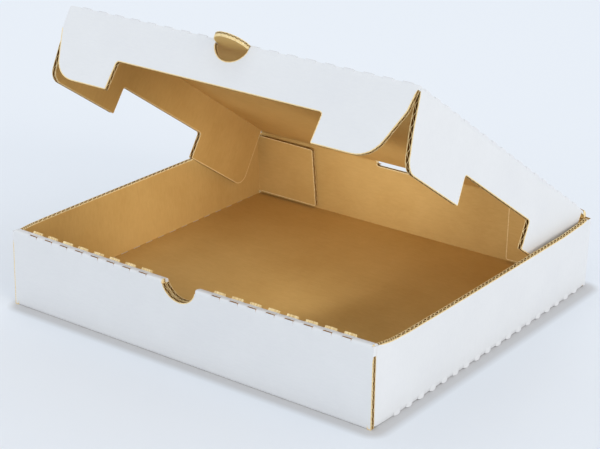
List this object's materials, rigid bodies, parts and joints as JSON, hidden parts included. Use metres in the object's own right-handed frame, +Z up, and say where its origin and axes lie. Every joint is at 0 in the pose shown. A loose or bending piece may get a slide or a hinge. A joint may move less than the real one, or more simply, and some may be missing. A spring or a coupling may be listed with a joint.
{
  "type": "pizza box",
  "caption": "Square shallow corrugated pizza box with a rolled front wall, a hinged tuck-in lid with side flaps, a thumb notch and a half-moon tab.",
  "frame": {"origin": "on the ground, under the middle of the tray", "axes": "+Z up, +Y from the front wall to the hinge at the back, +X to the right along the front wall"},
  "size_m": [0.266, 0.256, 0.1889],
  "materials": {
    "tray_board": "brown kraft liner inside, white liner outside, matte",
    "lid_board": "brown kraft liner inside, white liner outside, matte"
  },
  "bodies": {
    "tray": {"tray": "tray_board"},
    "lid": {"lid": "lid_board"}
  },
  "joints": [
    {"name": "lid_hinge", "type": "hinge", "parent": "tray", "child": "lid", "pos_m": [0, 0.128, 0.051], "axis": [-1, 0, 0], "range_deg": [-32.6, 147.4]}
  ]
}
